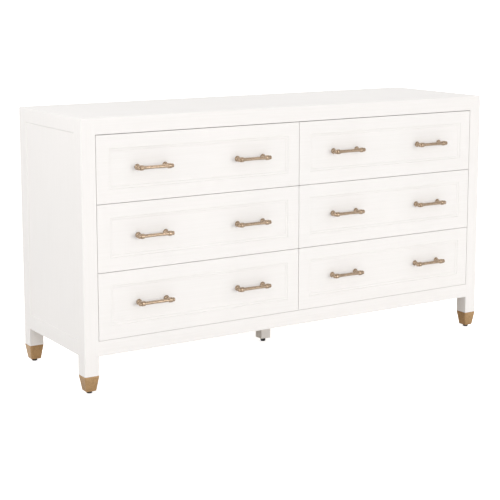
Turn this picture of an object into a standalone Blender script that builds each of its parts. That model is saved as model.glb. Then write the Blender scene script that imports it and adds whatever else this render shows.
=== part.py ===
"""White six-drawer dresser on square posts, with brass ferrules, bar pulls and side-hung drawers.

Metres, +Z up, standing on Z = 0. The drawers open towards -Y, and +X is on the right of someone facing them.
The origin is under the middle of the whole object, pulls included.
"""

import math

import bmesh
import bpy
from mathutils import Matrix, Vector

# Overall size, without the pulls
WIDTH = 1.676
DEPTH = 0.504
HEIGHT = 0.907

# Gaps
JOINT = 0.0003  # hairline between pieces that are glued or screwed together
REVEAL = 0.0015  # shadow gap beside and between the drawer fronts
TOP_REVEAL = 0.002  # above the top drawers
LOW_REVEAL = 0.0008  # below the bottom drawers
RUNNING = 0.0008  # clearance round a runner in its groove

# Posts and boards
POST = 0.051
TOP_THICK = 0.019
RAIL_THICK = 0.022
SIDE_THICK = 0.020
PARTITION_THICK = 0.018
BOTTOM_THICK = 0.012
BACK_THICK = 0.006
BACK_INSET = 0.0037  # the back panel lies this far inside the posts' rear faces
REAR_RAIL_THICK = 0.020
REAR_RAIL_HEIGHT = 0.049
REAR_TOP_RAIL_HEIGHT = 0.060

# Heights above the floor
BASE_BOTTOM = 0.125  # underside of the bottom rails
OPENING_BOTTOM = 0.1751  # the drawer opening, between the front rails
OPENING_TOP = 0.853
BOTTOM_PANEL_Z = 0.135  # underside of the bottom panel

# Rounded edges and meshing
SHARP_ANGLE = math.radians(35)
MERGE = 0.0001
SOFT_EDGE = 0.005  # the carcass's outer edges
EASED_EDGE = 0.003  # the ferrules' other upright edges and the lower end of the support leg
ARRIS = 0.0006  # the posts' other edges
FRONT_ARRIS = 0.0008

# Recessed fields of the drawer fronts and side panels
FRAME = 0.045  # flat border outside the moulding
MOULDING = 0.014  # width of the sloped moulding
RECESS = 0.0045
MOULDING_STEPS = 4

# Drawers
ROWS = ("bottom", "middle", "top")
COLUMNS = (("left", -1), ("right", 1))
FRONT_THICK = 0.020
BOX_DEPTH = 0.430
BOX_HEIGHT = 0.165
BOX_RISE = 0.025  # from the front's lower edge to the box's
BOX_CLEAR = 0.013  # beside the box, where the runners go
BOX_WALL = 0.014
BOX_BOTTOM = 0.006
BOX_BOTTOM_RISE = 0.012
GROOVE_DEPTH = 0.006
GROOVE_RISE = 0.070  # from the box's lower edge to the middle of the groove
RUNNER_HEIGHT = 0.018
RUNNER_FRONT = 0.030  # from the dresser's front plane to the runners' ends
RUNNER_BACK = 0.034  # from the dresser's rear plane to the runners' ends

# Bar pulls
PULL_OFFSET = 0.1915  # from the drawer's middle to each pull's
PULL_LENGTH = 0.134
PULL_CENTRES = 0.103  # between the two posts
PULL_STANDOFF = 0.0305  # from the recessed field to the bar's axis
BAR_RADIUS_MIDDLE = 0.0050
BAR_RADIUS_END = 0.0060
COLLAR_RADIUS = 0.0086
COLLAR_LENGTH = 0.013
BUTTON_RADIUS = 0.0070
BUTTON_LENGTH = 0.0062
NECK_RADIUS = 0.0054
STEP = 0.0008  # run of the small cones between one radius and the next
ROSETTE_RADIUS = 0.0100
ROSETTE_THICK = 0.0025
PULL_POST_RADIUS = 0.0055
BAR_SIDES = 12
PULL_POST_SIDES = 10

# Feet
GLIDE_RADIUS = 0.0095
GLIDE_HEIGHT = 0.0085
CENTRE_GLIDE_HEIGHT = 0.0125
GLIDE_CHAMFER = 0.0015
STEM_RADIUS = 0.003
STEM_HOLE_RADIUS = 0.0034
STEM_LENGTH = 0.020
ROUND_SIDES = 24
HOLE_SIDES = 16
FERRULE_TOP = 0.0606
FERRULE_SHOULDER = 0.0535  # below it the ferrule tapers
FERRULE_BOTTOM = GLIDE_HEIGHT + JOINT
FERRULE_WIDTH = POST
FERRULE_FOOT_WIDTH = 0.036
FERRULE_BAND = 0.0005  # how far the band at its top stands proud of the taper
FERRULE_WALL = 0.002
CENTRE_LEG = 0.040
CENTRE_LEG_X = 0.020
CENTRE_LEG_BACK = 0.265  # from the dresser's front plane to the leg's middle

# Planes that follow from the sizes above
PULL_REACH = PULL_STANDOFF - RECESS + COLLAR_RADIUS + JOINT
FRONT_Y = PULL_REACH / 2 - DEPTH / 2
BACK_Y = FRONT_Y + DEPTH
INNER_X = WIDTH / 2 - POST
UNDER_TOP = HEIGHT - TOP_THICK - JOINT
BACK_PANEL_Y = BACK_Y - BACK_INSET - BACK_THICK
REAR_RAIL_Y = BACK_PANEL_Y - JOINT - REAR_RAIL_THICK
BOTTOM_PANEL_TOP = BOTTOM_PANEL_Z + BOTTOM_THICK
DRAWER_WIDTH = INNER_X - 1.5 * REVEAL
ROW_GAPS = TOP_REVEAL + LOW_REVEAL + (len(ROWS) - 1) * REVEAL
DRAWER_HEIGHT = (OPENING_TOP - OPENING_BOTTOM - ROW_GAPS) / len(ROWS)
DRAWER_X = (DRAWER_WIDTH + REVEAL) / 2
BAY_X = (INNER_X + PARTITION_THICK / 2) / 2
BOX_WIDTH = INNER_X - PARTITION_THICK / 2 - 2 * BOX_CLEAR
BOX_FRONT = FRONT_THICK + JOINT  # behind the drawer front's face


def clear_scene():
    for item in list(bpy.data.objects):
        bpy.data.objects.remove(item)


def new_collection(name):
    collection = bpy.data.collections.new(name)
    bpy.context.scene.collection.children.link(collection)
    return collection


def material(name, colour, roughness, metallic=0.0):
    made = bpy.data.materials.new(name)
    made.use_nodes = True
    shader = made.node_tree.nodes["Principled BSDF"]
    shader.inputs["Base Color"].default_value = (*colour, 1.0)
    shader.inputs["Roughness"].default_value = roughness
    shader.inputs["Metallic"].default_value = metallic
    made.diffuse_color = (*colour, 1.0)
    return made


def place(name, mesh, finish, location=(0, 0, 0), turn=0.0, parent=None):
    """Adds a finished piece, turned about Z by the given angle."""
    piece = bpy.data.objects.new(name, mesh)
    if not mesh.materials:
        mesh.materials.append(finish)
    piece.location = location
    piece.rotation_euler = (0, 0, turn)
    piece.parent = parent
    DRESSER.objects.link(piece)
    return piece


def finished(bm, name):
    mesh = bpy.data.meshes.new(name)
    bm.to_mesh(mesh)
    bm.free()
    return mesh


def box_mesh(low, high):
    """A rectangular block between two corners."""
    size = Vector(high) - Vector(low)
    middle = (Vector(high) + Vector(low)) / 2
    bm = bmesh.new()
    bmesh.ops.create_cube(bm, size=1.0, matrix=Matrix.Translation(middle) @ Matrix.Diagonal((*size, 1)))
    return finished(bm, "block")


def rod_mesh(radius, low, high, sides):
    """An upright cylinder on the Z axis between two heights."""
    bm = bmesh.new()
    middle = Matrix.Translation((0, 0, (low + high) / 2))
    bmesh.ops.create_cone(
        bm, cap_ends=True, segments=sides, radius1=radius, radius2=radius, depth=high - low, matrix=middle
    )
    return finished(bm, "rod")


def plate_mesh(outline, low, high):
    """A flat board with the given outline in X and Y, between two heights."""
    curve = bpy.data.curves.new("outline", "CURVE")
    curve.dimensions = "2D"
    curve.fill_mode = "BOTH"
    curve.extrude = (high - low) / 2
    spline = curve.splines.new("POLY")
    spline.points.add(len(outline) - 1)
    for point, (x, y) in zip(spline.points, outline):
        point.co = (x, y, 0, 1)
    spline.use_cyclic_u = True
    mesh = applied(temporary(curve))
    bm = bmesh.new()
    bm.from_mesh(mesh)
    bmesh.ops.remove_doubles(bm, verts=bm.verts, dist=MERGE)
    bmesh.ops.translate(bm, verts=bm.verts, vec=(0, 0, (low + high) / 2))
    bmesh.ops.recalc_face_normals(bm, faces=bm.faces)
    return finished(bm, "plate")


def temporary(data):
    item = bpy.data.objects.new("work", data)
    WORKBENCH.objects.link(item)
    return item


def applied(item, *helpers):
    """The item's shape with its modifiers applied. The item and its helpers are removed."""
    graph = bpy.context.evaluated_depsgraph_get()
    mesh = bpy.data.meshes.new_from_object(item.evaluated_get(graph))
    for used in (item, *helpers):
        bpy.data.objects.remove(used)
    return mesh


def combined(base, others, operation):
    """One mesh made from the base and the others by a Boolean."""
    item = temporary(base)
    helpers = [temporary(other) for other in others]
    for helper in helpers:
        boolean = item.modifiers.new("cut", "BOOLEAN")
        boolean.operation = operation
        boolean.object = helper
    return applied(item, *helpers)


def rounded(mesh, width_of, segments=2):
    """Rounds each edge by the width that width_of gives for its two ends."""
    ends = [[mesh.vertices[i].co.copy() for i in edge.vertices] for edge in mesh.edges]
    widths = [width_of(*pair) for pair in ends]
    widest = max(widths)
    weights = mesh.attributes.new("bevel_weight_edge", "FLOAT", "EDGE")
    for slot, width in zip(weights.data, widths):
        slot.value = width / widest
    item = temporary(mesh)
    bevel = item.modifiers.new("round", "BEVEL")
    bevel.limit_method = "WEIGHT"
    bevel.width = widest
    bevel.segments = segments
    return applied(item)


def is_upright(a, b):
    return abs(a.z - b.z) > abs(a.x - b.x) + abs(a.y - b.y)


def turned_mesh(profile, steps):
    """A solid turned about Z from (radius, height) points, listed from its top end to its bottom end."""
    mesh = bpy.data.meshes.new("profile")
    points = [(radius, 0, height) for radius, height in profile]
    mesh.from_pydata(points, [(i, i + 1) for i in range(len(points) - 1)], [])
    item = temporary(mesh)
    screw = item.modifiers.new("turn", "SCREW")
    screw.steps = steps
    screw.render_steps = steps
    screw.use_merge_vertices = True
    screw.merge_threshold = MERGE
    turned = applied(item)
    turned.shade_smooth()
    turned.set_sharp_from_angle(angle=SHARP_ANGLE)
    return turned


def moulded_mesh(width, height, thick, side_margin, top_margin, bottom_margin, arris):
    """A board with its face at Y = 0 towards -Y, with a field recessed behind a sloped moulding.

    The middle of the board's face is at the origin.
    """
    bm = bmesh.new()
    size = Matrix.Diagonal((width, thick, height, 1))
    bmesh.ops.create_cube(bm, size=1.0, matrix=Matrix.Translation((0, thick / 2, 0)) @ size)
    face = min(bm.faces, key=lambda f: f.calc_center_median().y)
    if arris:
        bmesh.ops.inset_region(bm, faces=[face], thickness=arris, depth=0)
        rim = [v for v in bm.verts if v.co.y < thick / 2 and v not in face.verts]
        bmesh.ops.translate(bm, verts=rim, vec=(0, arris, 0))
    bmesh.ops.inset_region(bm, faces=[face], thickness=ARRIS, depth=0)
    for vert in face.verts:
        margin = top_margin if vert.co.z > 0 else bottom_margin
        vert.co.x = math.copysign(width / 2 - side_margin, vert.co.x)
        vert.co.z = math.copysign(height / 2 - margin, vert.co.z)
    sunk = 0.0
    for step in range(1, MOULDING_STEPS + 1):
        level = RECESS * (1 - math.cos(math.pi * step / MOULDING_STEPS)) / 2
        bmesh.ops.inset_region(
            bm, faces=[face], thickness=MOULDING / MOULDING_STEPS, depth=sunk - level
        )
        sunk = level
    return finished(bm, "moulded_board")


def ferrule_width(height):
    """The ferrule's outer width at a height above the floor, without its band."""
    taper = (FERRULE_SHOULDER - height) / (FERRULE_SHOULDER - FERRULE_BOTTOM)
    return FERRULE_WIDTH - (FERRULE_WIDTH - FERRULE_FOOT_WIDTH) * max(0.0, taper)


def tapered_mesh(bottom, top, inset, band=0.0):
    """A square block, straight above the ferrule's shoulder and tapered below it, inset from its outside."""
    half = FERRULE_WIDTH / 2 - inset
    bm = bmesh.new()
    low = Vector((-half, -half, FERRULE_SHOULDER))
    size = Vector((half, half, top)) - low
    matrix = Matrix.Translation(low + size / 2) @ Matrix.Diagonal((*size, 1))
    bmesh.ops.create_cube(bm, size=1.0, matrix=matrix)
    face = min(bm.faces, key=lambda f: f.calc_center_median().z)
    if band:
        bmesh.ops.inset_region(bm, faces=[face], thickness=band, depth=0)
    end = bmesh.ops.extrude_discrete_faces(bm, faces=[face])["faces"][0]
    for vert in end.verts:
        vert.co.x = math.copysign(ferrule_width(bottom) / 2 - inset, vert.co.x)
        vert.co.y = math.copysign(ferrule_width(bottom) / 2 - inset, vert.co.y)
        vert.co.z = bottom
    return finished(bm, "tapered_block")


def post_mesh():
    """A post that is rounded at its outer corner, at +X +Y, with a tapered foot inside the ferrule."""
    half = POST / 2
    shaft = box_mesh((-half, -half, FERRULE_TOP + JOINT), (half, half, UNDER_TOP))

    def edge_width(a, b):
        if not is_upright(a, b):
            return 0.0
        return SOFT_EDGE if a.x > 0 and a.y > 0 else ARRIS

    shaft = rounded(shaft, edge_width, 3)
    foot_bottom = FERRULE_BOTTOM + FERRULE_WALL + JOINT
    foot = tapered_mesh(foot_bottom, FERRULE_TOP + 2 * SOFT_EDGE, FERRULE_WALL + JOINT)
    body = combined(shaft, [foot], "UNION")
    hole = rod_mesh(STEM_HOLE_RADIUS, 0, GLIDE_HEIGHT + STEM_LENGTH + JOINT, HOLE_SIDES)
    return combined(body, [hole], "DIFFERENCE")


def ferrule_mesh():
    """A square cup that tapers below the band at its top, with a hole for the glide's stem."""

    def edge_width(a, b):
        if is_upright(a, b):
            return SOFT_EDGE if a.x > 0 and a.y > 0 else EASED_EDGE
        return ARRIS if max(a.z, b.z) < FERRULE_SHOULDER - ARRIS else 0.0

    outside = rounded(tapered_mesh(FERRULE_BOTTOM, FERRULE_TOP, 0.0, FERRULE_BAND), edge_width, 3)
    cavity = tapered_mesh(FERRULE_BOTTOM + FERRULE_WALL, FERRULE_TOP + SOFT_EDGE, FERRULE_WALL)
    hole = rod_mesh(STEM_HOLE_RADIUS, 0, FERRULE_SHOULDER, HOLE_SIDES)
    return combined(outside, [cavity, hole], "DIFFERENCE")


def glide_mesh(height):
    """A round foot with a chamfered sole and a stem that is driven into the leg."""
    profile = [
        (0, height + STEM_LENGTH),
        (STEM_RADIUS, height + STEM_LENGTH),
        (STEM_RADIUS, height),
        (GLIDE_RADIUS, height),
        (GLIDE_RADIUS, GLIDE_CHAMFER),
        (GLIDE_RADIUS - GLIDE_CHAMFER, 0),
        (0, 0),
    ]
    return turned_mesh(profile, ROUND_SIDES)


def centre_leg_mesh():
    half = CENTRE_LEG / 2
    bottom = CENTRE_GLIDE_HEIGHT + JOINT
    block = box_mesh((-half, -half, bottom), (half, half, BOTTOM_PANEL_Z - JOINT))

    def edge_width(a, b):
        if is_upright(a, b):
            return EASED_EDGE / 3
        return EASED_EDGE if a.z < BASE_BOTTOM else 0.0

    block = rounded(block, edge_width, 2)
    hole = rod_mesh(STEM_HOLE_RADIUS, 0, CENTRE_GLIDE_HEIGHT + STEM_LENGTH + JOINT, HOLE_SIDES)
    return combined(block, [hole], "DIFFERENCE")


def drawer_box_mesh():
    """An open box behind the drawer front, with a groove along each side that the runner fits.

    Its origin is the middle of its front's lower edge. The grooves stop short of the front, which
    stops the drawer as it closes.
    """
    half = BOX_WIDTH / 2
    body = box_mesh((-half, 0, 0), (half, BOX_DEPTH, BOX_HEIGHT))
    inner = half - BOX_WALL
    rear = BOX_DEPTH - BOX_WALL
    cutters = [
        box_mesh((-inner, BOX_WALL, BOX_BOTTOM_RISE + BOX_BOTTOM), (inner, rear, BOX_HEIGHT + BOX_WALL)),
        box_mesh((-inner, BOX_WALL, -BOX_WALL), (inner, rear, BOX_BOTTOM_RISE)),
    ]
    groove_start = RUNNER_FRONT - BOX_FRONT - RUNNING
    groove_half = RUNNER_HEIGHT / 2 + RUNNING
    for side in (-1, 1):
        edges = sorted((side * (half - GROOVE_DEPTH), side * (half + BOX_WALL)))
        low = (edges[0], groove_start, GROOVE_RISE - groove_half)
        high = (edges[1], BOX_DEPTH + BOX_WALL, GROOVE_RISE + groove_half)
        cutters.append(box_mesh(low, high))
    return combined(body, cutters, "DIFFERENCE")


def bar_profile():
    """Half of the pull's bar, from its end button to its middle, as (radius, distance from the middle)."""
    end = PULL_LENGTH / 2
    button = end - BUTTON_LENGTH
    collar = PULL_CENTRES / 2 + COLLAR_LENGTH / 2
    collar_inner = collar - COLLAR_LENGTH
    dome = BUTTON_RADIUS / 4
    return [
        (0, end),
        (BUTTON_RADIUS - dome, end - dome / 2),
        (BUTTON_RADIUS, end - 2 * dome),
        (BUTTON_RADIUS, button + STEP),
        (NECK_RADIUS, button),
        (NECK_RADIUS, collar + STEP),
        (COLLAR_RADIUS, collar),
        (COLLAR_RADIUS, collar_inner),
        (BAR_RADIUS_END, collar_inner - STEP),
    ]


def pull_mesh():
    """A turned bar on two turned posts. Its origin is on the drawer's field, midway between the posts."""
    half = bar_profile()
    profile = [*half, (BAR_RADIUS_MIDDLE, 0), *((radius, -z) for radius, z in reversed(half))]
    bar = turned_mesh(profile, BAR_SIDES)
    bar.transform(Matrix.Translation((0, -PULL_STANDOFF, 0)) @ Matrix.Rotation(math.pi / 2, 4, "Y"))
    post_profile = [
        (0, PULL_STANDOFF),
        (PULL_POST_RADIUS, PULL_STANDOFF),
        (PULL_POST_RADIUS, 2 * ROSETTE_THICK),
        (ROSETTE_RADIUS, ROSETTE_THICK),
        (ROSETTE_RADIUS, 0),
        (0, 0),
    ]
    posts = []
    for side in (-1, 1):
        post = turned_mesh(post_profile, PULL_POST_SIDES)
        move = Matrix.Translation((side * PULL_CENTRES / 2, 0, 0))
        post.transform(move @ Matrix.Rotation(math.pi / 2, 4, "X"))
        posts.append(post)
    pull = combined(bar, posts, "UNION")
    pull.shade_smooth()
    pull.set_sharp_from_angle(angle=SHARP_ANGLE)
    return pull


def add_feet(brass, black):
    ferrule = ferrule_mesh()
    glide = glide_mesh(GLIDE_HEIGHT)
    post = post_mesh()
    reach_x = (WIDTH - POST) / 2
    corners = (
        ("front_left", -reach_x, FRONT_Y + POST / 2, math.pi),
        ("front_right", reach_x, FRONT_Y + POST / 2, -math.pi / 2),
        ("rear_left", -reach_x, BACK_Y - POST / 2, math.pi / 2),
        ("rear_right", reach_x, BACK_Y - POST / 2, 0.0),
    )
    for corner, x, y, turn in corners:
        place(f"{corner}_post", post, LACQUER, (x, y, 0), turn)
        place(f"{corner}_ferrule", ferrule, brass, (x, y, 0), turn)
        place(f"{corner}_glide", glide, black, (x, y, 0))
    middle = (CENTRE_LEG_X, FRONT_Y + CENTRE_LEG_BACK, 0)
    place("centre_support_leg", centre_leg_mesh(), LACQUER, middle)
    place("centre_glide", glide_mesh(CENTRE_GLIDE_HEIGHT), black, middle)


def add_top():
    half = WIDTH / 2
    slab = box_mesh((-half, FRONT_Y, HEIGHT - TOP_THICK), (half, BACK_Y, HEIGHT))

    def edge_width(a, b):
        return SOFT_EDGE if is_upright(a, b) or min(a.z, b.z) > UNDER_TOP + TOP_THICK / 2 else 0.0

    place("top_panel", rounded(slab, edge_width, 3), LACQUER)


def add_rails():
    x = INNER_X - JOINT

    def front_edge(a, b):
        return ARRIS if max(a.y, b.y) < FRONT_Y + ARRIS and abs(a.z - b.z) < ARRIS else 0.0

    def underside(a, b):
        return front_edge(a, b) if a.z < UNDER_TOP - ARRIS else 0.0

    front_back = FRONT_Y + RAIL_THICK
    top_rail = box_mesh((-x, FRONT_Y, OPENING_TOP), (x, front_back, UNDER_TOP))
    place("front_top_rail", rounded(top_rail, underside), LACQUER)
    bottom_rail = box_mesh((-x, FRONT_Y, BASE_BOTTOM), (x, front_back, OPENING_BOTTOM))
    place("front_bottom_rail", rounded(bottom_rail, front_edge), LACQUER)
    rear_back = REAR_RAIL_Y + REAR_RAIL_THICK
    rear_top = box_mesh((-x, REAR_RAIL_Y, UNDER_TOP - REAR_TOP_RAIL_HEIGHT), (x, rear_back, UNDER_TOP))
    place("rear_top_rail", rear_top, LACQUER)
    rear_bottom = box_mesh(
        (-x, REAR_RAIL_Y, BASE_BOTTOM), (x, rear_back, BASE_BOTTOM + REAR_RAIL_HEIGHT)
    )
    place("rear_bottom_rail", rear_bottom, LACQUER)


def add_side_panels():
    width = DEPTH - 2 * POST - 2 * JOINT
    height = UNDER_TOP - BASE_BOTTOM
    top_margin = FRAME - (HEIGHT - UNDER_TOP)
    panel = moulded_mesh(width, height, SIDE_THICK, 2 * ARRIS, top_margin, FRAME, 0)
    middle_y = (FRONT_Y + BACK_Y) / 2
    middle_z = BASE_BOTTOM + height / 2
    for name, side in COLUMNS:
        middle = (side * WIDTH / 2, middle_y, middle_z)
        place(f"{name}_side_panel", panel, LACQUER, middle, side * math.pi / 2)


def add_inside(plywood):
    """The bottom panel, the centre partition and the back panel."""
    front = FRONT_Y + RAIL_THICK + JOINT
    rear = REAR_RAIL_Y - JOINT
    wide = WIDTH / 2 - SIDE_THICK - JOINT
    narrow = INNER_X - JOINT
    post_front = FRONT_Y + POST + JOINT
    post_rear = BACK_Y - POST - JOINT
    right = [
        (narrow, front),
        (narrow, post_front),
        (wide, post_front),
        (wide, post_rear),
        (narrow, post_rear),
        (narrow, rear),
    ]
    outline = [*right, *((-x, y) for x, y in reversed(right))]
    place("bottom_panel", plate_mesh(outline, BOTTOM_PANEL_Z, BOTTOM_PANEL_TOP), plywood)

    low = BOTTOM_PANEL_TOP + JOINT
    back = BACK_PANEL_Y - JOINT
    lower_notch = BASE_BOTTOM + REAR_RAIL_HEIGHT + JOINT
    upper_notch = UNDER_TOP - REAR_TOP_RAIL_HEIGHT - JOINT
    side_view = [
        (front, low),
        (rear, low),
        (rear, lower_notch),
        (back, lower_notch),
        (back, upper_notch),
        (rear, upper_notch),
        (rear, UNDER_TOP),
        (front, UNDER_TOP),
    ]
    partition = plate_mesh(side_view, -PARTITION_THICK / 2, PARTITION_THICK / 2)
    partition.transform(Matrix(((0, 0, 1, 0), (1, 0, 0, 0), (0, 1, 0, 0), (0, 0, 0, 1))))
    place("centre_partition", partition, plywood)

    back_panel = box_mesh(
        (-narrow, BACK_PANEL_Y, BASE_BOTTOM), (narrow, BACK_PANEL_Y + BACK_THICK, UNDER_TOP)
    )
    place("back_panel", back_panel, LACQUER)


def add_runners(drawer, side, box_z, hardwood):
    """The two strips that one drawer hangs on, screwed to the posts and to the partition."""
    low_y = FRONT_Y + RUNNER_FRONT
    high_y = BACK_Y - RUNNER_BACK
    reach = BOX_CLEAR + GROOVE_DEPTH - RUNNING
    low_z = box_z + GROOVE_RISE - RUNNER_HEIGHT / 2
    for side_name, wall, towards in (
        ("outer", side * INNER_X, -side),
        ("inner", side * PARTITION_THICK / 2, side),
    ):
        edges = sorted((wall + towards * JOINT, wall + towards * reach))
        strip = box_mesh((edges[0], low_y, low_z), (edges[1], high_y, low_z + RUNNER_HEIGHT))
        place(f"{drawer}_{side_name}_runner", strip, hardwood)


def add_drawers(brass, hardwood):
    front = moulded_mesh(DRAWER_WIDTH, DRAWER_HEIGHT, FRONT_THICK, FRAME, FRAME, FRAME, FRONT_ARRIS)
    box = drawer_box_mesh()
    pull = pull_mesh()
    for row, row_name in enumerate(ROWS):
        low = OPENING_BOTTOM + LOW_REVEAL + row * (DRAWER_HEIGHT + REVEAL)
        for column, side in COLUMNS:
            drawer = f"{row_name}_{column}_drawer"
            slide = bpy.data.objects.new(f"{drawer}_slide", None)
            slide.location = (side * DRAWER_X, FRONT_Y, low + DRAWER_HEIGHT / 2)
            DRESSER.objects.link(slide)
            place(f"{drawer}_front", front, LACQUER, parent=slide)
            box_place = (side * (BAY_X - DRAWER_X), BOX_FRONT, BOX_RISE - DRAWER_HEIGHT / 2)
            place(f"{drawer}_box", box, hardwood, box_place, parent=slide)
            for pull_name, pull_side in COLUMNS:
                pull_place = (pull_side * PULL_OFFSET, RECESS - JOINT, 0)
                place(f"{drawer}_{pull_name}_pull", pull, brass, pull_place, parent=slide)
            add_runners(drawer, side, low + BOX_RISE, hardwood)


clear_scene()
DRESSER = new_collection("six_drawer_dresser")
WORKBENCH = new_collection("workbench")
LACQUER = material("white_lacquer", (0.90, 0.89, 0.87), 0.35)
BRASS = material("brushed_brass", (0.62, 0.44, 0.25), 0.35, 1.0)
BLACK = material("black_nylon", (0.02, 0.02, 0.02), 0.5)
HARDWOOD = material("clear_hardwood", (0.62, 0.47, 0.30), 0.5)
PLYWOOD = material("plywood", (0.66, 0.52, 0.35), 0.6)

add_feet(BRASS, BLACK)
add_top()
add_rails()
add_side_panels()
add_inside(PLYWOOD)
add_drawers(BRASS, HARDWOOD)
bpy.data.collections.remove(WORKBENCH)
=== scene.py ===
"""Looks of the white six-drawer dresser: lacquer, brass, hardwood, studio light and the camera.

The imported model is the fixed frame. Boards and fittings that need finer edges, turning or joinery
are rebuilt here at the same places and sizes. The other nodes only get a better material.
"""

import math

import bmesh
import bpy
from mathutils import Matrix, Vector


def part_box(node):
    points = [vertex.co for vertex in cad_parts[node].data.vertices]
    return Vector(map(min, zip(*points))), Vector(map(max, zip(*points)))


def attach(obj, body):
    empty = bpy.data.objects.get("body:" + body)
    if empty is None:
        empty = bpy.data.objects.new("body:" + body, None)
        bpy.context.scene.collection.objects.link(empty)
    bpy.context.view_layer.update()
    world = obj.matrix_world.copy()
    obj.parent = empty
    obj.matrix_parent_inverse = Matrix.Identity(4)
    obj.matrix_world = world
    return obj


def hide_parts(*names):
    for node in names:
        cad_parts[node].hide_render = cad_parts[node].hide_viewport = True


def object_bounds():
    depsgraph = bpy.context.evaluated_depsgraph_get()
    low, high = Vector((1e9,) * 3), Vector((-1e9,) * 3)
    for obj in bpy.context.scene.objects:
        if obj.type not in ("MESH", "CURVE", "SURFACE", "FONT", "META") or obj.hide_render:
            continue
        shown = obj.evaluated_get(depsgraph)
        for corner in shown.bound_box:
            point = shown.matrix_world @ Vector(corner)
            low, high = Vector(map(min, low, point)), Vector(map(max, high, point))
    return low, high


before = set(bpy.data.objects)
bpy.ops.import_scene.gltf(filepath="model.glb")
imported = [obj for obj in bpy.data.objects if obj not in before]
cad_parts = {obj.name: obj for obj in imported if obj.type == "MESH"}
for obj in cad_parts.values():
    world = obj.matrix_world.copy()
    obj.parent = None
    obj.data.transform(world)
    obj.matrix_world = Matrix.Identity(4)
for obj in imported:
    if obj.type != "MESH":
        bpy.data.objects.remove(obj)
CAD_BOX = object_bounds()

# Drawers and corners, by the words in their node names
ROWS = ("bottom", "middle", "top")
SIDES = (("left", -1), ("right", 1))
CORNERS = ("front_left", "front_right", "rear_left", "rear_right")

# Recessed fields of the drawer fronts and side panels
FRAME = 0.045
MOULDING = 0.014
RECESS = 0.0045

# Mouldings from their outer edge in. Each curve has its share of the moulding's width, its share of
# the recess and the steps it is drawn in
DRAWER_MOULDING = ((0.22, 0.45, 6), (0.58, 0.22, 2), (0.20, 0.33, 5))
SIDE_MOULDING = ((0.12, 0.04, 2), (0.70, 0.92, 12), (0.18, 0.04, 2))

# The side panels' flat edge beside the posts
SIDE_MARGIN = 0.0015

# Rounded edges, and the hairline that paint fills where boards meet
SOFT_EDGE = 0.005
EASED_EDGE = 0.003
ARRIS = 0.0008
JOINT = 0.0003
SMOOTH_ANGLE = math.radians(28)
NEAR_ZERO = 1e-6

# Bar pulls: half the bar's length, the posts' spacing and how far the bar stands off, then the
# turned parts. The bar narrows to its least radius over the waist on either side of its middle
PULL_HALF = 0.067
PULL_CENTRES = 0.103
PULL_STANDOFF = 0.0305
BUTTON_LENGTH = 0.0062
BUTTON_RADIUS = 0.0070
NECK_RADIUS = 0.0054
COLLAR_LENGTH = 0.013
COLLAR_RADIUS = 0.0086
COLLAR_RIM_RADIUS = 0.0078
SHOULDER_RADIUS = 0.0060
BAR_RADIUS = 0.0050
BAR_WAIST = 0.030
PULL_POST_RADIUS = 0.0055
PULL_BASE_RADIUS = 0.0100
PULL_SIDES = 48

# Feet
FERRULE_TOP = 0.0606
FERRULE_SHOULDER = 0.0535
FERRULE_BOTTOM = 0.0088
FERRULE_FOOT_HALF = 0.018
FERRULE_BAND = 0.0005
FERRULE_WALL = 0.002
FULLEST_CORNER = 0.99
GLIDE_RADIUS = 0.0095
STEM_RADIUS = 0.003
STEM_HOLE_RADIUS = 0.0034
STEM_LENGTH = 0.020
GLIDE_HEIGHT = 0.0085
GLIDE_CHAMFER = 0.0015
GLIDE_EASE = 0.0005

# Domed heads of the back screws and the pulls' bolts: radius and height
SCREW_HEAD = (0.0038, 0.0014)
BOLT_HEAD = (0.0048, 0.0026)
HEAD_SIDES = 24

# Shares of a head's radius: the dome's shoulder and its ease, and the cross recess's arms
DOME_RADIUS = 0.55
DOME_EASE = 0.2
CROSS_REACH = 0.62
CROSS_HALF_WIDTH = 0.11

# Shares of a head's height: the dome's shoulder, the rim, and the cross recess's floor and cutter
DOME_HEIGHT = 0.92
RIM_HEIGHT = 0.35
CROSS_FLOOR = 0.55
CROSS_CUT = 1.5

# Layout of the back screws
SCREW_INSET = 0.012
SCREW_COLUMNS = 9
SCREW_ROWS = 5

# Drawer boxes
BOX_WALL = 0.014
BOX_BOTTOM = 0.006
BOX_BOTTOM_RISE = 0.012
BOX_EASE = 0.0015
GROOVE_DEPTH = 0.006
GROOVE_FRONT = 0.0089
GROOVE_LOW = 0.0602
GROOVE_HIGH = 0.0798

# Dovetails on each side's front edge: their number, a pin's share of the space from one tail to the
# next, how much wider it is on the inside, and how far a cutter reaches past the board
TAILS = 4
PIN_SHARE = 0.22
PIN_FLARE = 0.0080
CUT_PAST = 0.001

# Camera: where it stands, where it points and how far its frame is shifted
CAMERA_PLACE = (-2.6024, -4.0421, 1.3257)
CAMERA_YAW = math.radians(32.202)
CAMERA_TILT = math.radians(8.819)
CAMERA_LENS = 95.305
CAMERA_SHIFT = -0.12

# Floor: a disc a hairline under the feet
FLOOR_RADIUS = 400.0
FLOOR_SIDES = 96
FLOOR_DROP = 0.0003
FLOOR_GLOW = 0.76
FLOOR_DARK = (0.87, 0.87, 0.87)
FLOOR_LIGHT = (0.89, 0.89, 0.89)

# Sky: strength at the horizon, and overhead before and behind the dresser. The horizon's strength
# fades out between two heights, and the front's into the rear's between two places along Y, all
# given as parts of the sky's radius
SKY_HORIZON = 1.17
SKY_FRONT = 0.70
SKY_REAR = 0.75
SKY_LOW = 0.17
SKY_HIGH = 0.5
SKY_BLEND = 0.8


# ---------------------------------------------------------------- shapes


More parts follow.
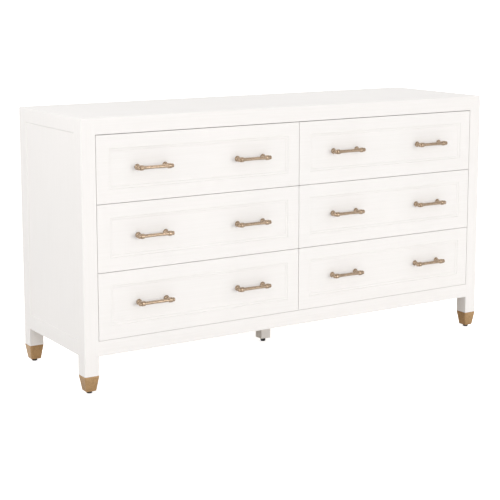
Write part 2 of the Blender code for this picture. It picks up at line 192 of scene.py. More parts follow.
def finished(bm, name):
    """A mesh from the bmesh, smooth except at its sharp edges."""
    bmesh.ops.recalc_face_normals(bm, faces=bm.faces)
    mesh = bpy.data.meshes.new(name)
    bm.to_mesh(mesh)
    bm.free()
    mesh.shade_smooth()
    mesh.set_sharp_from_angle(angle=SMOOTH_ANGLE)
    return mesh


def bridge(bm, lower, upper):
    """Faces between two rings of vertices, either of which may be a single point."""
    count = max(len(lower), len(upper))
    for i in range(count):
        j = (i + 1) % count
        corners = [
            lower[i % len(lower)],
            lower[j % len(lower)],
            upper[j % len(upper)],
            upper[i % len(upper)],
        ]
        corners = list(dict.fromkeys(corners))
        if len(corners) > 2:
            bm.faces.new(corners)


def lofted(name, rings, closed=False):
    """A skin over rings of points. A closed one joins its last ring to its first."""
    bm = bmesh.new()
    made = [[bm.verts.new(point) for point in ring] for ring in rings]
    for lower, upper in zip(made, made[1:]):
        bridge(bm, lower, upper)
    if closed:
        bridge(bm, made[-1], made[0])
    return finished(bm, name)


def eased(profile, steps=4):
    """The (radius, height) points of a profile, with its corners rounded.

    A profile is a list of (radius, height, ease) points, each rounded over its ease.
    """
    points = []
    for i, (radius, height, ease) in enumerate(profile):
        here = Vector((radius, height))
        if not ease:
            points.append(here)
            continue
        before = Vector(profile[i - 1][:2])
        after = Vector(profile[i + 1][:2])
        start = here + (before - here).normalized() * ease
        end = here + (after - here).normalized() * ease
        for step in range(steps + 1):
            t = step / steps
            points.append(start * (1 - t) ** 2 + here * 2 * t * (1 - t) + end * t**2)
    return points


def turned(name, profile, sides=PULL_SIDES):
    """A solid turned about Z from (radius, height, ease) points."""
    angles = [2 * math.pi * i / sides for i in range(sides)]
    rings = []
    for radius, height in eased(profile):
        if radius < NEAR_ZERO:
            rings.append([(0, 0, height)])
        else:
            rings.append([(radius * math.cos(a), radius * math.sin(a), height) for a in angles])
    return lofted(name, rings)


def rounded_square(half, height, outer_radius, radius, steps=8):
    """A ring of points round a rounded square. The corner at +X +Y has the outer radius."""
    points = []
    for corner in range(4):
        corner_radius = radius if corner else outer_radius
        diagonal = math.pi / 2 * (corner + 0.5)
        centre_x = (half - corner_radius) * math.copysign(1, math.cos(diagonal))
        centre_y = (half - corner_radius) * math.copysign(1, math.sin(diagonal))
        for step in range(steps + 1):
            angle = math.pi / 2 * (corner + step / steps)
            x = centre_x + corner_radius * math.cos(angle)
            y = centre_y + corner_radius * math.sin(angle)
            points.append((x, y, height))
    return points


def block_bmesh(low, high):
    """A sharp-edged block between two corners."""
    size = Vector(high) - Vector(low)
    middle = (Vector(high) + Vector(low)) / 2
    bm = bmesh.new()
    place = Matrix.Translation(middle) @ Matrix.Diagonal((*size, 1))
    bmesh.ops.create_cube(bm, size=1.0, matrix=place)
    return bm


def board(name, low, high, ease=ARRIS, wanted=None, segments=3):
    """A board between two corners, with its wanted edges (all of them by default) eased."""
    bm = block_bmesh(low, high)
    edges = [edge for edge in bm.edges if wanted is None or wanted(*(v.co for v in edge.verts))]
    bmesh.ops.bevel(bm, geom=edges, offset=ease, segments=segments, affect="EDGES", profile=0.5)
    return finished(bm, name)


def moulded_board(name, size, margins, moulding, ease):
    """A board with its face at Y = 0 towards -Y and a field recessed behind a curved moulding.

    The size is its width, height and thickness, and the margins are the flat widths at the sides,
    the top and the bottom. The middle of the board's face is at the origin.
    """
    width, height, thick = size
    side, top, bottom = margins
    bm = block_bmesh((-width / 2, 0, -height / 2), (width / 2, thick, height / 2))
    face = min(bm.faces, key=lambda f: f.calc_center_median().y)
    # The inset only makes the flat frame's inner edge, which then moves to the margins
    bmesh.ops.inset_region(bm, faces=[face], thickness=2 * max(ease, JOINT), depth=0)
    for vert in face.verts:
        vert.co.x = math.copysign(width / 2 - side, vert.co.x)
        vert.co.z = math.copysign(height / 2 - (top if vert.co.z > 0 else bottom), vert.co.z)
    for width_share, depth_share, steps in moulding:
        sunk = 0.0
        inset = width_share * MOULDING / steps
        for step in range(1, steps + 1):
            level = depth_share * RECESS * (1 - math.cos(math.pi * step / steps)) / 2
            bmesh.ops.inset_region(bm, faces=[face], thickness=inset, depth=sunk - level)
            sunk = level
    if ease:
        outer = [e for e in bm.edges if all(is_corner(v.co, size) for v in e.verts)]
        bmesh.ops.bevel(bm, geom=outer, offset=ease, segments=3, affect="EDGES", profile=0.5)
    return finished(bm, name)


def is_corner(point, size):
    """Whether a point is one of the eight corners of a moulded board's block."""
    width, height, thick = size
    off_side = abs(abs(point.x) - width / 2)
    off_end = abs(abs(point.z) - height / 2)
    off_face = min(abs(point.y), abs(point.y - thick))
    return max(off_side, off_end, off_face) < NEAR_ZERO


def moved(mesh, matrix):
    """A copy of the mesh at another place.

    Its points are moved, and not its object, so the grain differs from one copy to the next.
    """
    copy = mesh.copy()
    copy.transform(matrix)
    return copy


def joined(name, meshes):
    """One mesh from several. Each source's material index is kept."""
    bm = bmesh.new()
    for mesh in meshes:
        bm.from_mesh(mesh)
    result = bpy.data.meshes.new(name)
    bm.to_mesh(result)
    bm.free()
    return result


def combined(base, other, operation):
    """The base mesh with the other one joined to it or cut from it."""
    items = []
    for mesh in (base, other):
        item = bpy.data.objects.new("work", mesh)
        bpy.context.scene.collection.objects.link(item)
        items.append(item)
    cut = items[0].modifiers.new("cut", "BOOLEAN")
    cut.operation = operation
    cut.object = items[1]
    graph = bpy.context.evaluated_depsgraph_get()
    mesh = bpy.data.meshes.new_from_object(items[0].evaluated_get(graph))
    for item in items:
        bpy.data.objects.remove(item)
    mesh.shade_smooth()
    mesh.set_sharp_from_angle(angle=SMOOTH_ANGLE)
    return mesh


def with_index(mesh, index):
    """The mesh with all its faces given one material index."""
    for polygon in mesh.polygons:
        polygon.material_index = index
    return mesh


def piece(name, mesh, materials, body, nodes=()):
    """A shown piece that rides on a body and stands for the CAD nodes it replaces."""
    made = bpy.data.objects.new(name, mesh)
    bpy.context.scene.collection.objects.link(made)
    mesh.materials.clear()
    for material in materials:
        mesh.materials.append(material)
    even = made.modifiers.new("even_shading", "WEIGHTED_NORMAL")
    even.keep_sharp = True
    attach(made, body)
    if nodes:
        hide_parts(*nodes)
    return made


# ---------------------------------------------------------------- materials


class Finish:
    """A procedural material, built up by adding nodes to its tree."""

    def __init__(self, name, roughness, metallic=0.0):
        self.material = bpy.data.materials.new(name)
        self.material.use_nodes = True
        self.tree = self.material.node_tree
        self.shader = self.tree.nodes["Principled BSDF"]
        self.shader.inputs["Roughness"].default_value = roughness
        self.shader.inputs["Metallic"].default_value = metallic
        self.coordinates = self.tree.nodes.new("ShaderNodeTexCoord").outputs["Object"]

    def link(self, source, target):
        self.tree.links.new(source, target)

    def noise(self, scale, detail=3.0, roughness=0.5, distortion=0.0):
        """Noise in metres: scale is a number, or one per axis, in features per metre."""
        scales = scale if isinstance(scale, tuple) else (scale,) * 3
        mapping = self.tree.nodes.new("ShaderNodeMapping")
        mapping.inputs["Scale"].default_value = scales
        self.link(self.coordinates, mapping.inputs["Vector"])
        made = self.tree.nodes.new("ShaderNodeTexNoise")
        made.inputs["Scale"].default_value = 1.0
        made.inputs["Detail"].default_value = detail
        made.inputs["Roughness"].default_value = roughness
        made.inputs["Distortion"].default_value = distortion
        self.link(mapping.outputs["Vector"], made.inputs["Vector"])
        return made.outputs["Fac"]

    def ramp(self, source, *stops):
        """Colours at places from 0 to 1 along the source."""
        made = self.tree.nodes.new("ShaderNodeValToRGB")
        elements = made.color_ramp.elements
        while len(elements) < len(stops):
            elements.new(0.5)
        for element, (place, colour) in zip(elements, stops):
            element.position = place
            element.color = (*colour, 1.0)
        self.link(source, made.inputs["Fac"])
        return made.outputs["Color"]

    def mix(self, mode, amount, first, second):
        """The second colour blended over the first."""
        made = self.tree.nodes.new("ShaderNodeMix")
        made.data_type = "RGBA"
        made.blend_type = mode
        made.inputs["Factor"].default_value = amount
        self.link(first, made.inputs["A"])
        self.link(second, made.inputs["B"])
        return made.outputs["Result"]

    def spread(self, source, low, high):
        """The source's middle range stretched over low to high."""
        made = self.tree.nodes.new("ShaderNodeMapRange")
        made.inputs["From Min"].default_value = 0.3
        made.inputs["From Max"].default_value = 0.7
        made.inputs["To Min"].default_value = low
        made.inputs["To Max"].default_value = high
        self.link(source, made.inputs["Value"])
        return made.outputs["Result"]

    def bump(self, source, height, normal=None):
        """Relief of the given height in metres."""
        made = self.tree.nodes.new("ShaderNodeBump")
        made.inputs["Distance"].default_value = height
        self.link(source, made.inputs["Height"])
        if normal is not None:
            self.link(normal, made.inputs["Normal"])
        return made.outputs["Normal"]

    def set(self, colour=None, roughness=None, normal=None):
        """The material, once these sources are linked to its shader."""
        sources = {"Base Color": colour, "Roughness": roughness, "Normal": normal}
        for socket, source in sources.items():
            if source is not None:
                self.link(source, self.shader.inputs[socket])
        return self.material


def along(axis, across, lengthwise):
    """A scale per axis for a pattern that is drawn out along one axis."""
    return tuple(lengthwise if i == axis else across for i in range(3))


def lacquer(name, axis):
    """Satin white lacquer on wood whose grain, along the axis, just shows through the coat."""
    finish = Finish(name, roughness=0.43)
    finish.shader.inputs["Specular IOR Level"].default_value = 0.35
    cloud = finish.noise(2.2, detail=2.0)
    grain = finish.noise(along(axis, 210.0, 5.0), detail=4.0, roughness=0.6)
    spray = finish.noise(620.0, detail=2.0)
    tone = finish.ramp(cloud, (0.30, LACQUER_COOL), (0.70, LACQUER_WARM))
    lines = finish.ramp(grain, (0.25, (0.975, 0.973, 0.968)), (0.60, (1.0, 1.0, 1.0)))
    colour = finish.mix("MULTIPLY", 1.0, tone, lines)
    relief = finish.bump(grain, 0.00005)
    relief = finish.bump(spray, 0.00002, relief)
    return finish.set(colour, finish.spread(spray, 0.40, 0.46), relief)


def brass(name, axis, dark, light):
    """Brushed champagne brass, with fine brush marks across the axis."""
    finish = Finish(name, roughness=0.34, metallic=1.0)
    marks = finish.noise(along(axis, 90.0, 5200.0), detail=3.0, roughness=0.7)
    cloud = finish.noise(140.0, detail=3.0)
    tone = finish.ramp(cloud, (0.30, dark), (0.70, light))
    streaks = finish.ramp(marks, (0.30, (0.90, 0.89, 0.87)), (0.65, (1.0, 1.0, 1.0)))
    colour = finish.mix("MULTIPLY", 1.0, tone, streaks)
    return finish.set(colour, finish.spread(marks, 0.18, 0.30), finish.bump(marks, 0.00001))


def nylon(name):
    """Black moulded nylon with a fine spark-eroded texture."""
    finish = Finish(name, roughness=0.5)
    grit = finish.noise(2600.0, detail=2.0)
    colour = finish.ramp(grit, (0.3, (0.012, 0.012, 0.013)), (0.7, (0.024, 0.024, 0.025)))
    return finish.set(colour, finish.spread(grit, 0.42, 0.58), finish.bump(grit, 0.00004))


def hardwood(name, axis, dark, light):
    """Clear-sealed hardwood: growth bands and fine pores along the axis, and a soft sheen."""
    finish = Finish(name, roughness=0.45)
    bands = finish.noise(along(axis, 26.0, 1.3), detail=5.0, roughness=0.55, distortion=0.5)
    pores = finish.noise(along(axis, 1500.0, 42.0), detail=2.0)
    middle = tuple((d + b) / 2 for d, b in zip(dark, light))
    base = finish.ramp(bands, (0.28, dark), (0.50, middle), (0.72, light))
    specks = finish.ramp(pores, (0.32, (0.80, 0.76, 0.70)), (0.48, (1.0, 1.0, 1.0)))
    colour = finish.mix("MULTIPLY", 0.8, base, specks)
    relief = finish.bump(pores, 0.00003)
    return finish.set(colour, finish.spread(bands, 0.40, 0.52), relief)


LACQUER_COOL = (0.812, 0.789, 0.769)
LACQUER_WARM = (0.826, 0.799, 0.777)
CAP_DARK = (0.48, 0.305, 0.155)
CAP_LIGHT = (0.60, 0.390, 0.205)
BAR_DARK = (0.375, 0.280, 0.198)
BAR_LIGHT = (0.55, 0.415, 0.300)
MAPLE_DARK = (0.50, 0.36, 0.22)
MAPLE_LIGHT = (0.68, 0.53, 0.36)
PLY_DARK = (0.55, 0.42, 0.27)
PLY_LIGHT = (0.72, 0.58, 0.40)

LACQUER_LONG = lacquer("lacquer_lengthwise", 0)
LACQUER_UP = lacquer("lacquer_upright", 2)
BRASS_BAR = brass("brushed_brass_turned", 0, BAR_DARK, BAR_LIGHT)
BRASS_CAP = brass("brushed_brass_cap", 2, CAP_DARK, CAP_LIGHT)
BRASS_SCREW = brass("brass_screw", 1, CAP_DARK, CAP_LIGHT)
NYLON = nylon("black_nylon")
WOOD_LONG = hardwood("hardwood_lengthwise", 0, MAPLE_DARK, MAPLE_LIGHT)
WOOD_DEEP = hardwood("hardwood_front_to_back", 1, MAPLE_DARK, MAPLE_LIGHT)
PLY_DEEP = hardwood("plywood_front_to_back", 1, PLY_DARK, PLY_LIGHT)
PLY_LONG = hardwood("plywood_lengthwise", 0, PLY_DARK, PLY_LIGHT)


def carry_over():
    """Gives the CAD nodes that stay their materials, by the ends of their names."""
    finishes = {
        "rear_top_rail": LACQUER_LONG,
        "rear_bottom_rail": LACQUER_LONG,
        "leg": LACQUER_UP,
        "back_panel": LACQUER_LONG,
        "bottom_panel": PLY_LONG,
        "partition": PLY_DEEP,
        "runner": WOOD_DEEP,
    }
    for name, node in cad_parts.items():
        for ending, material in finishes.items():
            if name.endswith(ending):
                node.data.materials.clear()
                node.data.materials.append(material)


# ---------------------------------------------------------------- carcass


def middle_of(node):
    """The middle of a CAD node's box."""
    low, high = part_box(node)
    return (low + high) / 2


def add_top():
    """The top board, with all its edges softened but the four underneath."""
    low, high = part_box("top_panel")

    def shown(a, b):
        return max(a.z, b.z) > high.z - ARRIS

    mesh = board("top_board", low, high, SOFT_EDGE, shown, segments=6)
    piece("top_board", mesh, [LACQUER_LONG], "carcass", ["top_panel"])


def add_front_rails():
    """The rails between the front posts. Only their edges at the drawer opening are eased."""
    for level in ("top", "bottom"):
        node = f"front_{level}_rail"
        low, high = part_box(node)
        low.x -= JOINT
        high.x += JOINT
        if level == "top":
            high.z += JOINT
        opening = (low.z,) if level == "top" else (low.z, high.z)

        def eased_edge(a, b):
            at_opening = a.z == b.z and any(abs(a.z - z) < ARRIS for z in opening)
            return at_opening and max(a.y, b.y) < low.y + ARRIS

        mesh = board(f"{level}_rail", low, high, ARRIS / 2, eased_edge)
        piece(f"front_{level}_rail_board", mesh, [LACQUER_LONG], "carcass", [node])


def add_side_panels():
    """The moulded side boards, turned to face out, with no joint to the posts and the top."""
    for side_name, side in SIDES:
        node = f"{side_name}_side_panel"
        low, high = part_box(node)
        low.y -= JOINT
        high.y += JOINT
        high.z += JOINT
        size = (high.y - low.y, high.z - low.z, high.x - low.x)
        top = FRAME - (CAD_BOX[1].z - high.z)
        margins = (SIDE_MARGIN, top, FRAME)
        mesh = moulded_board("side_board", size, margins, SIDE_MOULDING, 0.0)
        outside = low.x if side < 0 else high.x
        face = Vector((outside, (low.y + high.y) / 2, (low.z + high.z) / 2))
        place = Matrix.Translation(face) @ Matrix.Rotation(side * math.pi / 2, 4, "Z")
        mesh = moved(mesh, place)
        name = f"{side_name}_side_board"
        piece(name, mesh, [LACQUER_UP], "carcass", [node])


def ferrule_half(height):
    """Half the cap's width at a height: the post's down to the shoulder, then tapered."""
    taper = max(0.0, (FERRULE_SHOULDER - height) / (FERRULE_SHOULDER - FERRULE_BOTTOM))
    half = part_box("front_left_ferrule")[1].x - middle_of("front_left_ferrule").x
    return half - (half - FERRULE_FOOT_HALF) * taper


def ferrule_mesh():
    """A square cup with rounded corners and a plain band round its top."""
    top = ferrule_half(FERRULE_TOP)
    outline = [
        (STEM_RADIUS, FERRULE_BOTTOM),
        (FERRULE_FOOT_HALF - 2 * ARRIS, FERRULE_BOTTOM),
        (FERRULE_FOOT_HALF - ARRIS / 2, FERRULE_BOTTOM + ARRIS / 4),
        (ferrule_half(FERRULE_BOTTOM + ARRIS), FERRULE_BOTTOM + ARRIS),
        (top - FERRULE_BAND, FERRULE_SHOULDER - ARRIS / 2),
        (top - FERRULE_BAND, FERRULE_SHOULDER),
        (top - FERRULE_BAND / 3, FERRULE_SHOULDER + ARRIS / 3),
        (top, FERRULE_SHOULDER + ARRIS),
        (top, FERRULE_TOP - ARRIS / 2),
        (top - ARRIS / 2, FERRULE_TOP),
        (top - FERRULE_WALL, FERRULE_TOP),
        (top - FERRULE_WALL, FERRULE_SHOULDER),
        (FERRULE_FOOT_HALF - FERRULE_WALL, FERRULE_BOTTOM + FERRULE_WALL),
        (STEM_RADIUS, FERRULE_BOTTOM + FERRULE_WALL),
    ]
    rings = []
    for half, height in outline:
        # A small ring's corners are as round as they can be without meeting
        radii = [min(edge, half * FULLEST_CORNER) for edge in (SOFT_EDGE, EASED_EDGE)]
        rings.append(rounded_square(half, height, *radii))
    return lofted("cap", rings, closed=True)


def post_mesh(top):
    """A post on the Z axis, rounded at +X +Y, with a tenon inside the cap and a stem hole."""
    full = ferrule_half(FERRULE_TOP)
    fit = FERRULE_WALL + JOINT
    tenon_bottom = FERRULE_BOTTOM + fit
    hole_top = GLIDE_HEIGHT + STEM_LENGTH + JOINT
    tenon_edge = EASED_EDGE / 2
    rings = [
        [(0, 0, hole_top)],
        rounded_square(STEM_HOLE_RADIUS, hole_top, STEM_HOLE_RADIUS, STEM_HOLE_RADIUS),
        rounded_square(STEM_HOLE_RADIUS, tenon_bottom, STEM_HOLE_RADIUS, STEM_HOLE_RADIUS),
        rounded_square(FERRULE_FOOT_HALF - fit, tenon_bottom, tenon_edge, tenon_edge),
        rounded_square(full - fit, FERRULE_SHOULDER, tenon_edge, tenon_edge),
        rounded_square(full - fit, FERRULE_TOP + JOINT, tenon_edge, tenon_edge),
        rounded_square(full, FERRULE_TOP + JOINT, SOFT_EDGE, JOINT),
        rounded_square(full, top, SOFT_EDGE, JOINT),
        [(0, 0, top)],
    ]
    return lofted("post", rings)


def glide_mesh(height):
    """A turned foot of the given height, with the stem that goes up into its leg."""
    profile = [
        (0, height + STEM_LENGTH, 0),
        (STEM_RADIUS, height + STEM_LENGTH, 0),
        (STEM_RADIUS, height, 0),
        (GLIDE_RADIUS, height, GLIDE_EASE),
        (GLIDE_RADIUS, GLIDE_CHAMFER, GLIDE_EASE),
        (GLIDE_RADIUS - GLIDE_CHAMFER, 0, GLIDE_EASE),
        (0, 0, 0),
    ]
    return turned("foot", profile)


def add_feet():
    """The posts, their caps and all the glides. Each post's rounded corner faces out."""
    cap = ferrule_mesh()
    post = post_mesh(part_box("top_panel")[0].z)
    for corner in CORNERS:
        middle = middle_of(f"{corner}_post")
        turn = math.atan2(math.copysign(1, middle.y), math.copysign(1, middle.x)) - math.pi / 4
        place = Matrix.Translation((middle.x, middle.y, 0)) @ Matrix.Rotation(turn, 4, "Z")
        mesh = moved(cap, place)
        node = f"{corner}_ferrule"
        piece(f"{corner}_cap", mesh, [BRASS_CAP], "carcass", [node])
        mesh = moved(post, place)
        node = f"{corner}_post"
        piece(f"{corner}_upright", mesh, [LACQUER_UP], "carcass", [node])
    for where in (*CORNERS, "centre"):
        node = f"{where}_glide"
        low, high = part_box(node)
        foot = glide_mesh(high.z - STEM_LENGTH)
        place = Matrix.Translation(((low.x + high.x) / 2, (low.y + high.y) / 2, 0))
        piece(f"{where}_foot", moved(foot, place), [NYLON], "carcass", [node])


def screw_head_mesh(radius, height):
    """A domed head with a cross recess, its flat side at Z = 0."""
    profile = [
        (0, height, 0),
        (radius * DOME_RADIUS, height * DOME_HEIGHT, radius * DOME_EASE),
        (radius, height * RIM_HEIGHT, 0),
        (radius, 0, 0),
        (0, 0, 0),
    ]
    head = turned("head", profile, HEAD_SIDES)
    narrow = radius * CROSS_HALF_WIDTH
    long = radius * CROSS_REACH
    for x, y in ((narrow, long), (long, narrow)):
        bm = block_bmesh((-x, -y, height * CROSS_FLOOR), (x, y, height * CROSS_CUT))
        cutter = bpy.data.meshes.new("cutter")
        bm.to_mesh(cutter)
        bm.free()
        head = combined(head, cutter, "DIFFERENCE")
    return head


def add_back_screws():
    """Small screws round the back panel, which hold it to the posts, rails and partition."""
    low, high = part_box("back_panel")
    head = screw_head_mesh(*SCREW_HEAD)
    turn = Matrix.Rotation(-math.pi / 2, 4, "X")
    left, right = low.x + SCREW_INSET, high.x - SCREW_INSET
    bottom, top = low.z + 2 * SCREW_INSET, high.z - 2 * SCREW_INSET
    places = []
    for i in range(SCREW_COLUMNS):
        x = left + (right - left) * i / (SCREW_COLUMNS - 1)
        places += [(x, bottom), (x, top)]
    for i in range(1, SCREW_ROWS):
        z = bottom + (top - bottom) * i / SCREW_ROWS
        places += [(left, z), (0.0, z), (right, z)]
    heads = [moved(head, Matrix.Translation((x, high.y, z)) @ turn) for x, z in places]
    mesh = joined("screws", heads)
    piece("back_panel_screws", mesh, [BRASS_SCREW], "carcass")


# ---------------------------------------------------------------- drawers


def pull_mesh():
    """A turned bar with end buttons and collars, on two turned posts.

    Its origin is on the drawer's field. The bar's profile is drawn from its middle and the posts'
    from the field, and the small numbers there are the cuts and eases of the turning.
    """
    button_in = PULL_HALF - BUTTON_LENGTH
    collar_out = PULL_CENTRES / 2 + COLLAR_LENGTH / 2
    collar_in = collar_out - COLLAR_LENGTH
    half = [
        (0, PULL_HALF, 0),
        (0.0045, PULL_HALF - 0.0002, 0.0012),
        (BUTTON_RADIUS, PULL_HALF - 0.0022, 0.0014),
        (BUTTON_RADIUS, button_in + 0.0010, 0.0006),
        (NECK_RADIUS, button_in, 0.0003),
        (NECK_RADIUS, collar_out + 0.0008, 0.0003),
        (COLLAR_RIM_RADIUS, collar_out, 0.0005),
        (COLLAR_RADIUS, collar_out - 0.0026, 0.0012),
        (COLLAR_RADIUS, collar_in + 0.0026, 0.0012),
        (COLLAR_RIM_RADIUS, collar_in, 0.0005),
        (SHOULDER_RADIUS, collar_in - 0.0008, 0.0004),
    ]
    mirrored = [(radius, -height, ease) for radius, height, ease in reversed(half)]
    pull = turned("bar", [*half, (BAR_RADIUS, 0, BAR_WAIST), *mirrored])
    lay_across = Matrix.Rotation(math.pi / 2, 4, "Y")
    pull.transform(Matrix.Translation((0, -PULL_STANDOFF, 0)) @ lay_across)
    post = [
        (0, PULL_STANDOFF, 0),
        (PULL_POST_RADIUS, PULL_STANDOFF, 0),
        (PULL_POST_RADIUS, 0.0062, 0.0030),
        (0.0092, 0.0026, 0.0006),
        (PULL_BASE_RADIUS, 0.0020, 0.0006),
        (PULL_BASE_RADIUS, 0, 0),
        (0, 0, 0),
    ]
    point_out = Matrix.Rotation(math.pi / 2, 4, "X")
    for side in (-1, 1):
        stem = turned("post", post)
        stem.transform(Matrix.Translation((side * PULL_CENTRES / 2, 0, 0)) @ point_out)
        pull = combined(pull, stem, "UNION")
    return pull


def pin_mesh(outer_x, inner_x, depth, middle_z, narrow, wide):
    """A dovetail pin: a wedge through the side board, wider on the inside."""
    bm = bmesh.new()
    corners = []
    for x, half in ((outer_x, narrow / 2), (inner_x, wide / 2)):
        for y in (0.0, depth):
            for z in (middle_z - half, middle_z + half):
                corners.append(bm.verts.new((x, y, z)))
    ends = ((0, 1, 3, 2), (4, 6, 7, 5))
    flanks = ((0, 4, 5, 1), (2, 3, 7, 6), (0, 2, 6, 4), (1, 5, 7, 3))
    for face in ends + flanks:
        bm.faces.new([corners[i] for i in face])
    bmesh.ops.recalc_face_normals(bm, faces=bm.faces)
    mesh = bpy.data.meshes.new("pin")
    bm.to_mesh(mesh)
    bm.free()
    return mesh


def drawer_box_mesh(width, depth, height):
    """An open box of five boards with dovetailed front corners and grooved sides.

    Its origin is the middle of its front's lower edge. Side boards have material 0, the front and
    back boards and the pins 1, and the bottom 2.
    """
    half = width / 2
    inner = half - BOX_WALL

    def top_edge(a, b):
        return min(a.z, b.z) > height - BOX_EASE

    boards = []
    for name, front in (("front", 0), ("back", depth - BOX_WALL)):
        low = (-inner, front, 0)
        high = (inner, front + BOX_WALL, height)
        boards.append(with_index(board(name, low, high, BOX_EASE, top_edge), 1))
    low = (-inner, BOX_WALL, BOX_BOTTOM_RISE)
    high = (inner, depth - BOX_WALL, BOX_BOTTOM_RISE + BOX_BOTTOM)
    boards.append(with_index(board("bottom", low, high), 2))
    pitch = height / TAILS
    narrow = pitch * PIN_SHARE
    wide = narrow + PIN_FLARE
    for side in (-1, 1):
        near, far = sorted((side * inner, side * half))
        wall = board("side", (near, 0, 0), (far, depth, height), BOX_EASE, top_edge)
        near, far = sorted((side * (half - GROOVE_DEPTH), side * (half + BOX_WALL)))
        # The groove stops short of the front and runs out at the back
        low = (near, GROOVE_FRONT, GROOVE_LOW)
        high = (far, 2 * depth, GROOVE_HIGH)
        wall = combined(wall, board("groove", low, high), "DIFFERENCE")
        for tail in range(TAILS):
            middle = pitch * (tail + 0.5)
            outer_x, inner_x = side * (half + CUT_PAST), side * (inner - CUT_PAST)
            cutter = pin_mesh(outer_x, inner_x, BOX_WALL, middle, narrow, wide)
            wall = combined(wall, cutter, "DIFFERENCE")
            pin = pin_mesh(side * half, side * inner, BOX_WALL, middle, narrow, wide)
            boards.append(with_index(pin, 1))
        boards.append(with_index(wall, 0))
    return joined("drawer_box", boards)


def add_drawer(drawer, front, box, pull, bolt):
    """One drawer's front, box, pulls and the bolts' heads inside it, from the shared meshes."""
    low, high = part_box(f"{drawer}_front")
    face = Vector(((low.x + high.x) / 2, low.y, (low.z + high.z) / 2))
    mesh = moved(front, Matrix.Translation(face))
    node = f"{drawer}_front"
    piece(f"{drawer}_face", mesh, [LACQUER_LONG], drawer, [node])
    box_low, box_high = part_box(f"{drawer}_box")
    place = Matrix.Translation(((box_low.x + box_high.x) / 2, box_low.y, box_low.z))
    mesh = moved(box, place)
    woods = [WOOD_DEEP, WOOD_LONG, PLY_LONG]
    node = f"{drawer}_box"
    piece(f"{drawer}_boards", mesh, woods, drawer, [node])
    inside = box_low.y + BOX_WALL
    bolts = []
    for end, _side in SIDES:
        node = f"{drawer}_{end}_pull"
        pull_low, pull_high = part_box(node)
        middle_x = (pull_low.x + pull_high.x) / 2
        mesh = moved(pull, Matrix.Translation((middle_x, pull_high.y, face.z)))
        name = f"{drawer}_{end}_bar_pull"
        piece(name, mesh, [BRASS_BAR], drawer, [node])
        for post in (-PULL_CENTRES / 2, PULL_CENTRES / 2):
            bolts.append(moved(bolt, Matrix.Translation((middle_x + post, inside, face.z))))
    mesh = joined("bolts", bolts)
    piece(f"{drawer}_pull_bolts", mesh, [BRASS_SCREW], drawer)


def add_drawers():
    """The six drawers, which are all alike."""
    pull = pull_mesh()
    low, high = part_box("top_left_drawer_front")
    size = high - low
    margins = (FRAME, FRAME, FRAME)
    front = moulded_board("front", (size.x, size.z, size.y), margins, DRAWER_MOULDING, ARRIS)
    low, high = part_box("top_left_drawer_box")
    box = drawer_box_mesh(*(high - low))
    bolt = screw_head_mesh(*BOLT_HEAD)
    bolt.transform(Matrix.Rotation(-math.pi / 2, 4, "X"))
    for row in ROWS:
        for column, _side in SIDES:
            add_drawer(f"{row}_{column}_drawer", front, box, pull, bolt)


# ---------------------------------------------------------------- studio


def add_floor():
    """A wide pale disc that reaches the horizon. Its glow whitens the floor alone."""
    bm = bmesh.new()
    bmesh.ops.create_circle(bm, cap_ends=True, segments=FLOOR_SIDES, radius=FLOOR_RADIUS)
    bmesh.ops.translate(bm, verts=bm.verts, vec=(0, 0, -FLOOR_DROP))
    mesh = bpy.data.meshes.new("floor")
    bm.to_mesh(mesh)
    bm.free()
    finish = Finish("floor_paint", roughness=0.9)
    finish.shader.inputs["Specular IOR Level"].default_value = 0.1
    finish.shader.inputs["Emission Color"].default_value = (1.0, 1.0, 1.0, 1.0)
    finish.shader.inputs["Emission Strength"].default_value = FLOOR_GLOW
    mottle = finish.noise(1.5, detail=2.0)
    tone = finish.ramp(mottle, (0.3, FLOOR_DARK), (0.7, FLOOR_LIGHT))
    mesh.materials.append(finish.set(tone))
    floor = bpy.data.objects.new("floor", mesh)
    bpy.context.scene.collection.objects.link(floor)
    lit = bpy.data.collections.new("lit_by_floor_glow")
    lit.objects.link(floor)
    floor.light_linking.receiver_collection = lit


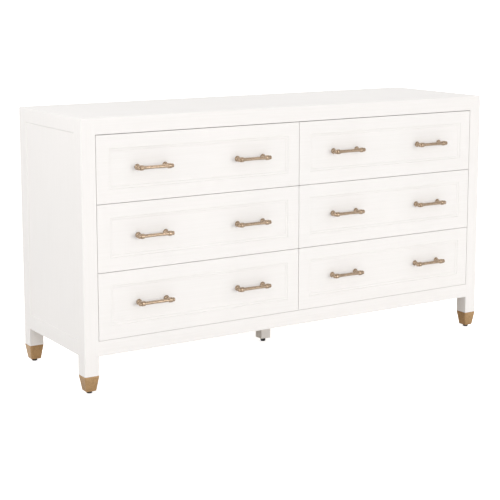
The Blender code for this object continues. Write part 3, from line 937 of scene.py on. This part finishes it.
def add_sky():
    """Soft white light from all round, strongest at the horizon."""
    world = bpy.data.worlds.new("studio")
    world.use_nodes = True
    tree = world.node_tree
    direction = tree.nodes.new("ShaderNodeTexCoord")
    split = tree.nodes.new("ShaderNodeSeparateXYZ")
    tree.links.new(direction.outputs["Generated"], split.inputs["Vector"])
    # Each ramp: its axis, where it starts and ends there, and its values at both
    height = ("Z", SKY_LOW, SKY_HIGH, 0.0, 1.0)
    overhead = ("Y", -SKY_BLEND, SKY_BLEND, SKY_FRONT, SKY_REAR)
    mixed = tree.nodes.new("ShaderNodeMix")
    mixed.inputs["A"].default_value = SKY_HORIZON
    for socket, (axis, low, high, start, end) in (("Factor", height), ("B", overhead)):
        ramp = tree.nodes.new("ShaderNodeMapRange")
        ramp.interpolation_type = "SMOOTHSTEP"
        ramp.inputs["From Min"].default_value = low
        ramp.inputs["From Max"].default_value = high
        ramp.inputs["To Min"].default_value = start
        ramp.inputs["To Max"].default_value = end
        tree.links.new(split.outputs[axis], ramp.inputs["Value"])
        tree.links.new(ramp.outputs["Result"], mixed.inputs[socket])
    tree.links.new(mixed.outputs["Result"], tree.nodes["Background"].inputs["Strength"])
    tree.nodes["Background"].inputs["Color"].default_value = (1.0, 1.0, 1.0, 1.0)
    bpy.context.scene.world = world


def add_softbox(name, aim, direction, distance, size, power):
    """A square softbox aimed at a point from the given direction."""
    light = bpy.data.lights.new(name, "AREA")
    light.shape = "SQUARE"
    light.size = size
    light.energy = power
    lamp = bpy.data.objects.new(name, light)
    away = Vector(direction).normalized()
    lamp.location = aim + away * distance
    lamp.rotation_euler = away.to_track_quat("Z", "Y").to_euler()
    bpy.context.scene.collection.objects.link(lamp)


def add_softboxes():
    """One large soft light from the front, and three small fills for the side, front and top."""
    middle = (CAD_BOX[0] + CAD_BOX[1]) / 2
    side_low, side_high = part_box("left_side_panel")
    side_top = Vector((side_low.x, (side_low.y + side_high.y) / 2, side_high.z))
    front_low = Vector((middle.x + 0.35, CAD_BOX[0].y, 0.35))
    top_right = Vector((middle.x + 0.45, middle.y, CAD_BOX[1].z))
    add_softbox("key", middle, (0.12, -0.98, 0.08), distance=12.0, size=6.0, power=393.0)
    add_softbox("side_fill", side_top, (-0.84, -0.20, 0.58), distance=1.6, size=1.0, power=10.2)
    add_softbox("low_fill", front_low, (0.15, -0.98, 0.08), distance=3.0, size=0.8, power=7.0)
    add_softbox("top_fill", top_right, (0.10, 0.10, 0.98), distance=2.2, size=1.2, power=12.5)


def add_camera():
    """The camera stands to the front left, higher than the top, and looks a little down."""
    data = bpy.data.cameras.new("camera")
    data.lens = CAMERA_LENS
    data.shift_y = CAMERA_SHIFT
    data.clip_end = 2 * FLOOR_RADIUS
    camera = bpy.data.objects.new("camera", data)
    camera.location = CAMERA_PLACE
    camera.rotation_euler = (math.pi / 2 - CAMERA_TILT, 0, -CAMERA_YAW)
    bpy.context.scene.collection.objects.link(camera)
    bpy.context.scene.camera = camera


carry_over()
add_top()
add_front_rails()
add_side_panels()
add_feet()
add_back_screws()
add_drawers()
add_floor()
add_sky()
add_softboxes()
add_camera()
bpy.context.scene.view_settings.view_transform = "Standard"
